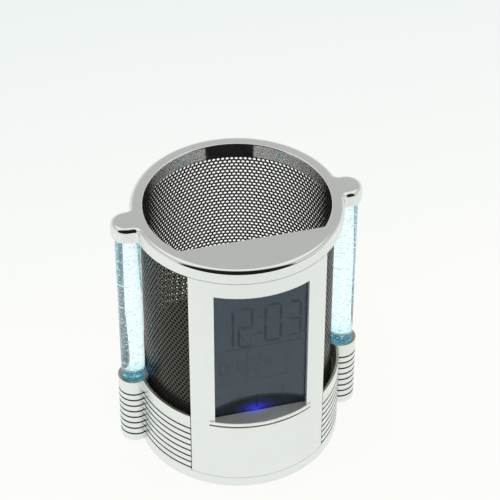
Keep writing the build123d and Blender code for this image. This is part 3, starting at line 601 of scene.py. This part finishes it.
# Painted light: a blue glow painted on the sheet as emission round each rod's foot, for the lamps' light.
spill_x = 42.5 * MM
spill_y = -2.0 * MM
spill_z = 42.5 * MM
spill_from = 1.0 * MM
spill_to = 8.0 * MM
painted_glow_strength = 0.55
painted_glow = None
for side in (-1, 1):
    spot = (side * spill_x, spill_y, spill_z)
    away = add_node(tree, "VectorMath", operation="DISTANCE")
    tree.links.new(place, away.inputs[0])
    away.inputs[1].default_value = spot
    fading = add_node(tree, "MapRange", {"Value": away.outputs["Value"], "From Min": spill_from,
                                         "From Max": spill_to, "To Min": 1.0, "To Max": 0.0})
    near = add_math(tree, "POWER", fading.outputs[0], 2.0)
    painted_glow = near if painted_glow is None else add_math(tree, "ADD", painted_glow, near)
surface.inputs["Emission Color"].default_value = (0.0, 0.12, 0.30, 1.0)
painted_glow_level = add_math(tree, "MULTIPLY", painted_glow, painted_glow_strength)
tree.links.new(painted_glow_level, surface.inputs["Emission Strength"])

hole_pitch = 2.0 * MM
hole_radius = 0.76 * MM
sheet_thickness = 0.5 * MM
row_step = hole_pitch * sin(radians(60))
first_row = 34.07 * MM
hole_rows = 49
low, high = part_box("mesh_cup")
outer_radius = high.y
open_half = 26.3 * MM
wrap = 2 * pi - 2 * asin(open_half / outer_radius)
flat_width = wrap * outer_radius
columns = round(flat_width / hole_pitch)
column_step = flat_width / columns
rows = hole_rows + 1

bm = bmesh.new()
bmesh.ops.create_grid(bm, x_segments=columns, y_segments=rows, size=0.5)
places = {}
for vert in bm.verts:
    column = round((vert.co.x + 0.5) * columns)
    row = round((vert.co.y + 0.5) * rows)
    places[vert] = (column, row)
    inner = 0 < column < columns
    shift = column_step / 2 if row % 2 and inner else 0.0
    height = first_row + (row - 1) * row_step
    if row == 0:
        height = low.z
    if row == rows:
        height = high.z
    vert.co = Vector((column * column_step - flat_width / 2 + shift, height, 0.0))
punched = [vert for vert, (column, row) in places.items() if 0 < column < columns and 0 < row < rows]
bmesh.ops.triangulate(bm, faces=bm.faces[:], quad_method="SHORT_EDGE", ngon_method="BEAUTY")
made = bmesh.ops.bevel(bm, geom=punched, offset=hole_radius, offset_type="OFFSET", affect="VERTICES",
                       segments=1, profile=0.5, material=-1)
sixfold = [face for face in made["faces"] if len(face.verts) == 6]
rims = list({edge for face in sixfold for edge in face.edges})
bmesh.ops.subdivide_edges(bm, edges=rims, cuts=1)
largest_slug = 3.2 * hole_radius ** 2
slugs = [face for face in bm.faces if len(face.verts) == 12 and face.calc_area() < largest_slug]
for face in slugs:
    centre = face.calc_center_median()
    for vert in face.verts:
        vert.co = centre + (vert.co - centre).normalized() * hole_radius
bmesh.ops.delete(bm, geom=slugs, context="FACES_ONLY")
punched_sheet = bpy.data.meshes.new("punched_sheet")
bm.to_mesh(punched_sheet)
bm.free()
for side, name in ((-1, "left"), (1, "right")):
    bm = bmesh.new()
    bm.from_mesh(punched_sheet)
    spare = [face for face in bm.faces if (face.calc_center_bounds().x > 0) == (side < 0)]
    bmesh.ops.delete(bm, geom=spare, context="FACES")
    bmesh.ops.recalc_face_normals(bm, faces=bm.faces[:])
    bmesh.ops.solidify(bm, geom=bm.faces[:] + bm.edges[:] + bm.verts[:], thickness=sheet_thickness)
    bm.normal_update()
    for face in bm.faces:
        face.material_index = int(abs(face.normal.z) < 0.5)
    lowest = min(vert.co.z for vert in bm.verts)
    for vert in bm.verts:
        depth = vert.co.z - lowest
        turn = vert.co.x / outer_radius
        radius = outer_radius - depth
        vert.co = Vector((radius * sin(turn), radius * cos(turn), vert.co.y))
    bmesh.ops.recalc_face_normals(bm, faces=bm.faces[:])
    cup = add_piece("punched_cup_" + name, bm, gunmetal, cut_edge)
    cup.modifiers.clear()
    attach(cup, "case")
    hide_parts("mesh_cup")


# Clock works. A holder keeps the display and its light guide square behind the window, with the
# lamp and the striped rubber contact under the guide, and the clock's own board closes its back.
guide_acrylic = grained("guide_acrylic", (0.80, 0.85, 0.93), 0.22, 0.6, 0.01)
strip_rubber = grained("strip_rubber", (0.16, 0.16, 0.17), 0.6, 0.4, 0.01)
tree = strip_rubber.node_tree
place = add_node(tree, "TexCoord").outputs["Object"]
stripes = add_node(tree, "TexWave", {"Vector": place, "Scale": 2200.0}, bands_direction="X")
bands = add_ramp(tree, stripes.outputs["Fac"], (0.35, (0.02, 0.02, 0.02)), (0.65, (0.5, 0.5, 0.5)))
tree.links.new(bands, finish_of(strip_rubber).inputs["Base Color"])
chip_resin = grained("chip_resin", (0.025, 0.025, 0.026), 0.22, 1.2, 0.02)
edge_lamp = grained("edge_lamp", (0.55, 0.65, 1.0), 0.3, 0.5, 0.002)
surface = finish_of(edge_lamp)
surface.inputs["Emission Color"].default_value = (0.05, 0.10, 1.0, 1.0)
surface.inputs["Emission Strength"].default_value = 2.0
flat_cable = grained("flat_cable", (0.75, 0.76, 0.74), 0.4, 0.5, 0.004)
tree = flat_cable.node_tree
place = add_node(tree, "TexCoord").outputs["Object"]
cores = add_node(tree, "TexWave", {"Vector": place, "Scale": 320.0}, bands_direction="X")
bands = add_ramp(tree, cores.outputs["Fac"], (0.2, (0.52, 0.53, 0.52)), (0.6, (0.80, 0.81, 0.79)))
tree.links.new(bands, finish_of(flat_cable).inputs["Base Color"])
for name, node, finish, slot in (
    ("works_holder", "lcd_holder", black_plastic, "black_plastic"),
    ("light_guide", "lcd_backlight", guide_acrylic, "light_guide"),
    ("guide_lamp", "backlight_led", edge_lamp, "lamp"),
    ("striped_contact", "contact_strip", strip_rubber, "rubber_strip"),
    ("works_board", "clock_board", circuit_board, "circuit_board"),
    ("chip_bead", "clock_chip", chip_resin, "resin"),
    ("timing_crystal", "crystal", zinc_steel, "zinc_steel"),
    ("ribbon_cable", "display_cable", flat_cable, "white_plastic"),
):
    piece = add_piece(name, eased(node), finish)
    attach(piece, "case")
    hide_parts(node)


# Display. A liquid crystal glass, dark slate, that its holder presses up behind the window. It has the time
# in large figures over smaller fields; its slate tone and a blue bloom where the guide's lamp shines through
# at its lower edge are painted on as glow.
bloom_x = -1.4 * MM
bloom_z = 39.4 * MM
bloom_fall = 90.0
dark_display = bpy.data.materials.new("display_dark")
dark_display.use_nodes = True
tree = dark_display.node_tree
surface = finish_of(dark_display)
place = add_node(tree, "TexCoord").outputs["Object"]
cloud = add_node(tree, "TexNoise", {"Vector": place, "Scale": 35.0, "Detail": 2.0})
tone = add_ramp(tree, cloud.outputs["Fac"], (0.3, (0.0015, 0.002, 0.003)), (0.7, (0.002, 0.003, 0.004)))
tree.links.new(tone, surface.inputs["Base Color"])
surface.inputs["Roughness"].default_value = 0.03
surface.inputs["IOR"].default_value = 1.56
surface.inputs["Specular Tint"].default_value = (0.58, 0.80, 1.0, 1.0)
# Painted light: the slate tone and the blue bloom are painted on as emission, the slate at the ramp's far
# end.
centre = add_node(tree, "Mapping", {"Vector": place, "Location": (-bloom_x, 0.0, -bloom_z)})
flat = add_node(tree, "Mapping", {"Vector": centre.outputs[0], "Scale": (1.0, 0.0, 1.35)})
away = add_node(tree, "VectorMath", {"Vector": flat.outputs[0]}, operation="LENGTH")
faded = add_math(tree, "MULTIPLY", away.outputs["Value"], bloom_fall)
painted_bloom = add_ramp(tree, faded, (0.0, (0.06, 0.07, 1.0)), (0.22, (0.025, 0.03, 0.60)),
                 (0.5, (0.014, 0.018, 0.12)), (0.95, (0.009, 0.011, 0.014)))
tree.links.new(painted_bloom, surface.inputs["Emission Color"])
surface.inputs["Emission Strength"].default_value = 1.0
dark_display.cycles.emission_sampling = "NONE"
display = add_piece("display_panel", eased("lcd_panel"), dark_display)
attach(display, "case")
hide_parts("lcd_panel")

figure_ink = grained("figure_ink", (0.0015, 0.0015, 0.002), 0.08, 0.5, 0.0)
surface = finish_of(figure_ink)
surface.inputs["IOR"].default_value = 1.37
surface.inputs["Specular Tint"].default_value = (0.58, 0.80, 1.0, 1.0)
ink_face = -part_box("lcd_panel")[0].y
ink_depth = 0.03 * MM
ink_gap = 0.01 * MM
stroke = 1.15 * MM
colon_stroke = 1.1 * MM
rule_stroke = 0.35 * MM
small_stroke = 0.55 * MM


def add_bar(bm, x0, z0, x1, z1, width=stroke, point=0.45):
    """One segment of a figure between two points in millimetres, with pointed ends."""
    made = bmesh.ops.create_cube(bm, size=1.0)["verts"]
    start = Vector((x0 * MM, 0.0, z0 * MM))
    end = Vector((x1 * MM, 0.0, z1 * MM))
    length = (end - start).length
    size = Matrix.Diagonal((length, ink_depth, width, 1.0))
    upright = Matrix.Rotation(radians(90), 4, "Y") if abs(z1 - z0) > abs(x1 - x0) else Matrix.Identity(4)
    middle = (start + end) / 2 - Vector((0.0, ink_face + ink_depth / 2 + ink_gap, 0.0))
    corners = list({edge for vert in made for edge in vert.link_edges
                    if abs((edge.verts[0].co - edge.verts[1].co).y) > 0.5})
    bmesh.ops.transform(bm, matrix=Matrix.Translation(middle) @ upright @ size, verts=made)
    if point:
        bmesh.ops.bevel(bm, geom=corners, offset=width * point, affect="EDGES", segments=1, profile=0.5,
                        material=-1)


def add_figure(bm, shown, left, right, low, high, width=stroke):
    """A seven-segment figure; shown lists its lit segments from a, at the top, to g."""
    half = (low + high) / 2
    gap = width / MM * 0.55
    lines = {
        "a": (left + gap, high, right - gap, high),
        "b": (right, half + gap, right, high - gap),
        "c": (right, low + gap, right, half - gap),
        "d": (left + gap, low, right - gap, low),
        "e": (left, low + gap, left, half - gap),
        "f": (left, half + gap, left, high - gap),
        "g": (left + gap, half, right - gap, half),
    }
    for segment in shown:
        add_bar(bm, *lines[segment], width=width)


bm = bmesh.new()
add_figure(bm, "bc", -17.6, -11.5, 77.9, 99.2)
add_figure(bm, "abged", -9.0, -3.2, 77.8, 99.0)
for height in (84.2, 93.0):
    add_bar(bm, -1.0, height, 1.5, height, width=colon_stroke)
add_figure(bm, "abcdef", 2.6, 9.2, 78.9, 98.9)
add_figure(bm, "abcdg", 12.4, 17.8, 79.9, 98.4)
for bar in ((-18.8, 76.7, 18.8, 76.7), (-18.8, 58.0, 18.8, 58.0), (-5.6, 58.6, -5.6, 76.0),
            (12.5, 58.6, 12.5, 76.0), (-1.0, 41.0, -1.0, 57.4)):
    add_bar(bm, *bar, width=rule_stroke, point=0)
for left, right, low, high, shown in (
    (-17.0, -14.2, 63.5, 70.0, "abcdef"), (-12.2, -9.4, 63.5, 70.0, "bc"),
    (-2.6, 0.4, 63.5, 70.0, "abged"), (2.2, 5.2, 63.5, 70.0, "acdfg"),
    (6.0, 8.4, 46.8, 52.0, "abged"), (10.2, 12.6, 46.8, 52.0, "acdefg"),
    (-15.0, -12.2, 45.5, 51.5, "bc"), (-10.6, -7.8, 45.5, 51.5, "abcdg"),
):
    add_figure(bm, shown, left, right, low, high, width=small_stroke)
figures = add_piece("display_figures", bm, figure_ink)
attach(figures, "case")


# Window. A flat pane of clear acrylic, cut from sheet with a polished face and bonded behind the
# frame of the front panel.
window_clear = bpy.data.materials.new("window_clear")
window_clear.use_nodes = True
tree = window_clear.node_tree
surface = finish_of(window_clear)
surface.inputs["Base Color"].default_value = (0.97, 0.985, 1.0, 1.0)
surface.inputs["Transmission Weight"].default_value = 1.0
surface.inputs["IOR"].default_value = 1.47
surface.inputs["Roughness"].default_value = 0.0
surface.inputs["Specular Tint"].default_value = (0.10, 0.14, 0.20, 1.0)
place = add_node(tree, "TexCoord").outputs["Object"]
haze = add_node(tree, "TexNoise", {"Vector": place, "Scale": 25.0, "Detail": 1.0})
bump = add_node(tree, "Bump", {"Height": haze.outputs["Fac"], "Distance": 0.01 * MM, "Strength": 0.3})
tree.links.new(bump.outputs[0], surface.inputs["Normal"])
pane = add_piece("window_pane", eased("display_glass", width=0.1), window_clear)
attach(pane, "case")
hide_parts("display_glass")


# Front panel. A curved ABS moulding, silver-painted like the tray, with the window's frame and a sill that
# juts out under it, with a painted highlight along its lip, painted shade under the lip and a painted dark
# reflection on the sill's top. It drops into the tray's slot and four screws hold it.
lip_radius = 45.05 * MM
lip_height = 37.9 * MM
lip_half = 22.6 * MM
lip_depth = 0.3 * MM
shade_height = 0.9 * MM
sill_height = 40.0 * MM
sill_reach = 0.1 * MM
weld = 0.001 * MM
lip_painted_highlight = grained("lip_painted_highlight", (0.97, 0.98, 0.96), 0.30, 0.16, 0.002, metallic=0.1, spread=0.01)
sill_painted_shade = grained("sill_painted_shade", (0.72, 0.74, 0.68), 0.36, 0.16, 0.003, metallic=0.80, spread=0.03)
lip_shade = grained("lip_shade", (0.10, 0.105, 0.08), 0.6, 0.16, 0.002)
bm = eased("front_panel", width=0.15, segments=3)
for height in (lip_height, lip_height - shade_height):
    every = bm.verts[:] + bm.edges[:] + bm.faces[:]
    bmesh.ops.bisect_plane(bm, geom=every, dist=weld, plane_co=(0, 0, height), plane_no=(0, 0, 1))
panel = add_piece("painted_panel", bm, silver_paint, lip_painted_highlight, lip_shade, sill_painted_shade)
for face in panel.data.polygons:
    spot = face.center
    from_axis = hypot(spot.x, spot.y)
    # Painted highlight: the lip's front faces take a near-white finish.
    if spot.y < 0 and from_axis > lip_radius and face.normal.z > -0.3:
        face.material_index = 1
    # Painted shade: a strip under the lip and the lip's down-turned faces.
    under_lip = spot.y < 0 and from_axis > lip_radius - lip_depth and abs(spot.x) < lip_half
    shaded = lip_height - shade_height < spot.z < lip_height
    turned_down = face.normal.z < -0.3 and spot.z < sill_height
    if under_lip and (shaded or turned_down):
        face.material_index = 2
    # Painted shade: the sill's top is a darker silver, for the dark that it reflects.
    if face.normal.z > 0.9 and spot.y < 0 and abs(spot.z - sill_height) < sill_reach:
        face.material_index = 3
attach(panel, "case")
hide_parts("front_panel")


# Clock housing. A black ABS moulding that covers the works inside the cup, screwed to the back
# of the front panel.
housing = add_piece("works_housing", eased("clock_housing", width=0.25, segments=3), black_plastic)
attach(housing, "case")
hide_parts("clock_housing")


# Collar. An ABS ring round the top of the cup, with a lobe over each rod's end, silver-painted
# like the tray. It closes the edge of the cup and takes the four pegs of the top plate.
collar = add_piece("painted_collar", eased("collar_ring", width=0.15, segments=3), silver_paint)
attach(collar, "case")
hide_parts("collar_ring")


# Top plate. A chromium-plated ABS moulding: a flat eared ring with a rolled edge, and a skirt
# down into the cup that follows its straight-fronted opening. Four pegs fix it to the collar.
def arc(bm, start, centre, turn, steps):
    """Edges along an arc about a centre, from the vertex start. Returns the last vertex."""
    made = bmesh.ops.spin(bm, geom=[start], cent=(*centre, start.co.z), axis=(0, 0, 1), angle=turn,
                          steps=steps)
    return next(item for item in made["geom_last"] if isinstance(item, bmesh.types.BMVert))


def line_to(bm, start, x, y):
    """A straight edge from the vertex start. Returns the last vertex."""
    made = bmesh.ops.extrude_vert_indiv(bm, verts=[start])["verts"][0]
    made.co.x = x
    made.co.y = y
    return made


def draw_eared(bm, radius, ear, fillet, height):
    """The plate's outline: a circle with a filleted ear over each rod."""
    upper = column_y + ear + fillet
    lower = column_y - ear - fillet
    reach = radius + fillet
    rise = asin(upper / reach)
    drop = asin(-lower / reach)
    upper_x = reach * cos(rise)
    lower_x = reach * cos(drop)
    vert = bm.verts.new((radius * cos(rise), radius * sin(rise), height))
    vert = arc(bm, vert, (0.0, 0.0), pi - 2 * rise, 96)
    vert = arc(bm, vert, (-upper_x, upper), rise - pi / 2, 6)
    vert = line_to(bm, vert, -column_x, column_y + ear)
    vert = arc(bm, vert, (-column_x, column_y), pi, 32)
    vert = line_to(bm, vert, -lower_x, column_y - ear)
    vert = arc(bm, vert, (-lower_x, lower), drop - pi / 2, 6)
    vert = arc(bm, vert, (0.0, 0.0), pi - 2 * drop, 96)
    vert = arc(bm, vert, (lower_x, lower), drop - pi / 2, 6)
    vert = line_to(bm, vert, column_x, column_y - ear)
    vert = arc(bm, vert, (column_x, column_y), pi, 32)
    vert = line_to(bm, vert, upper_x, column_y + ear)
    arc(bm, vert, (upper_x, upper), rise - pi / 2, 6)


def draw_opening(bm, radius, chord, corner, height):
    """The opening's outline: a circle cut off straight in front, with rounded corners."""
    level = corner - chord
    reach = radius - corner
    turn = asin(level / reach)
    side = reach * cos(turn)
    vert = bm.verts.new((radius * cos(turn), radius * sin(turn), height))
    vert = arc(bm, vert, (0.0, 0.0), pi - 2 * turn, 144)
    vert = arc(bm, vert, (-side, level), pi / 2 + turn, 10)
    vert = line_to(bm, vert, side, -chord)
    arc(bm, vert, (side, level), pi / 2 + turn, 10)


def open_loop(bm, height, inside):
    """The open edges at a height, on the opening's side of the plate or on its outside."""
    found = []
    for edge in bm.edges:
        level = all(abs(vert.co.z - height) < level_reach for vert in edge.verts)
        within = hypot(edge.verts[0].co.x, edge.verts[0].co.y) < parting_radius
        if level and within == inside and len(edge.link_faces) < 2:
            found.append(edge)
    return found


def extend(bm, edges, height):
    """A wall from a loop of edges, straight up or down to a height."""
    made = bmesh.ops.extrude_edge_only(bm, edges=edges)["geom"]
    for vert in made:
        if isinstance(vert, bmesh.types.BMVert):
            vert.co.z = height


low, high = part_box("top_plate")
plate_top = high.z
plate_bottom = high.z - 2.0 * MM
skirt_bottom = low.z
opening_radius = 39.7 * MM
opening_chord = -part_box("cup_floor")[0].y
skirt_wall = 0.7 * MM
corner = 2.0 * MM
plate_radius = 45.3 * MM
ear_radius = 6.8 * MM
ear_fillet = 2.0 * MM
rolled_edge = 1.9 * MM
opening_edge = 0.5 * MM
parting_radius = 42.4 * MM
level_reach = 0.01 * MM
peg_circle = 43.25 * MM
peg_turn = radians(50)
peg_length = 3.3 * MM
peg_middle = 1.35 * MM
peg_tip = 0.75 * MM
peg_root = 0.9 * MM

bm = bmesh.new()
draw_eared(bm, plate_radius, ear_radius, ear_fillet, plate_top)
draw_opening(bm, opening_radius, opening_chord, corner, plate_top)
bmesh.ops.remove_doubles(bm, verts=bm.verts[:], dist=weld)
bmesh.ops.triangle_fill(bm, use_beauty=True, edges=bm.edges[:])
extend(bm, open_loop(bm, plate_top, False), plate_bottom)
extend(bm, open_loop(bm, plate_top, True), skirt_bottom)
draw_opening(bm, opening_radius + skirt_wall, opening_chord + skirt_wall, corner + skirt_wall, skirt_bottom)
bmesh.ops.remove_doubles(bm, verts=bm.verts[:], dist=weld)
bmesh.ops.bridge_loops(bm, edges=open_loop(bm, skirt_bottom, True))
extend(bm, open_loop(bm, skirt_bottom, True), plate_bottom)
rims = open_loop(bm, plate_bottom, True) + open_loop(bm, plate_bottom, False)
bmesh.ops.triangle_fill(bm, use_beauty=True, edges=rims)
bmesh.ops.recalc_face_normals(bm, faces=bm.faces[:])
for inside, size, segments in ((False, rolled_edge, 12), (True, opening_edge, 6)):
    rim = [edge for edge in bm.edges if edge.calc_face_angle(0) > radians(60)
           and all(abs(vert.co.z - plate_top) < level_reach for vert in edge.verts)
           and (hypot(edge.verts[0].co.x, edge.verts[0].co.y) < parting_radius) == inside]
    bmesh.ops.bevel(bm, geom=rim, offset=size, offset_type="OFFSET", affect="EDGES", segments=segments,
                    profile=0.5, material=-1)
for x, y in ((-1, -1), (1, -1), (-1, 1), (1, 1)):
    spot = Vector((x * cos(peg_turn), y * sin(peg_turn), 0)) * peg_circle
    spot.z = plate_bottom - peg_middle
    bmesh.ops.create_cone(bm, cap_ends=True, segments=24, radius1=peg_tip, radius2=peg_root,
                          depth=peg_length, matrix=Matrix.Translation(spot))

chrome = grained("chrome", (0.80, 0.81, 0.805), 0.065, 0.8, 0.0004, metallic=1.0, spread=0.01, wear=0.02)
plate = add_piece("chromed_plate", bm, chrome)
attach(plate, "case")
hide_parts("top_plate")
